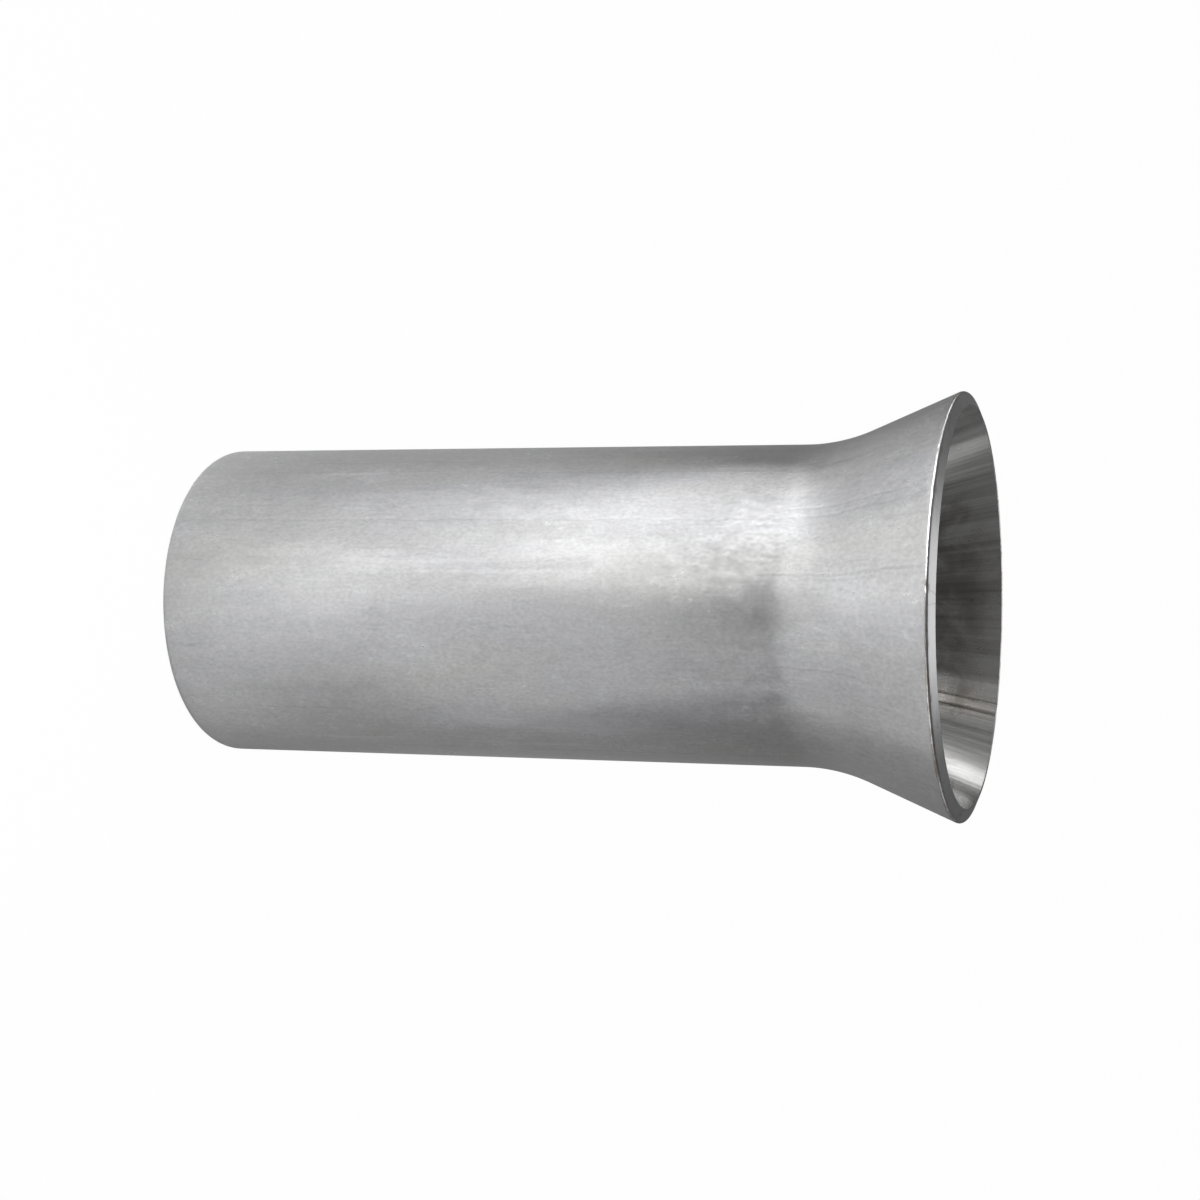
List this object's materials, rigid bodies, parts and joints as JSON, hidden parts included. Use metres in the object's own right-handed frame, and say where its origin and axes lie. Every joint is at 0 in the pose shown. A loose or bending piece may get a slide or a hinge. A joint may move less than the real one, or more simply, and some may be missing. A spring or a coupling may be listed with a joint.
{
  "type": "flared spool pipe",
  "caption": "Short plain stainless spool pipe with one end opened out into a cone, to carry product between two fittings of a sanitary line.",
  "frame": {"origin": "middle of the plain tail end's face, which stands on z = 0", "axes": "+Z along the tube's axis, from the plain tail up to the flared mouth; the part is round, so X and Y are alike, with the inside weld seam on the +Y side, a little towards +X"},
  "size_m": [0.079, 0.079, 0.1511],
  "materials": {
    "satin_stainless": "dull pickled stainless steel with fine lengthwise draw lines"
  },
  "bodies": {
    "root": {"spool_pipe": "satin_stainless"}
  },
  "joints": []
}
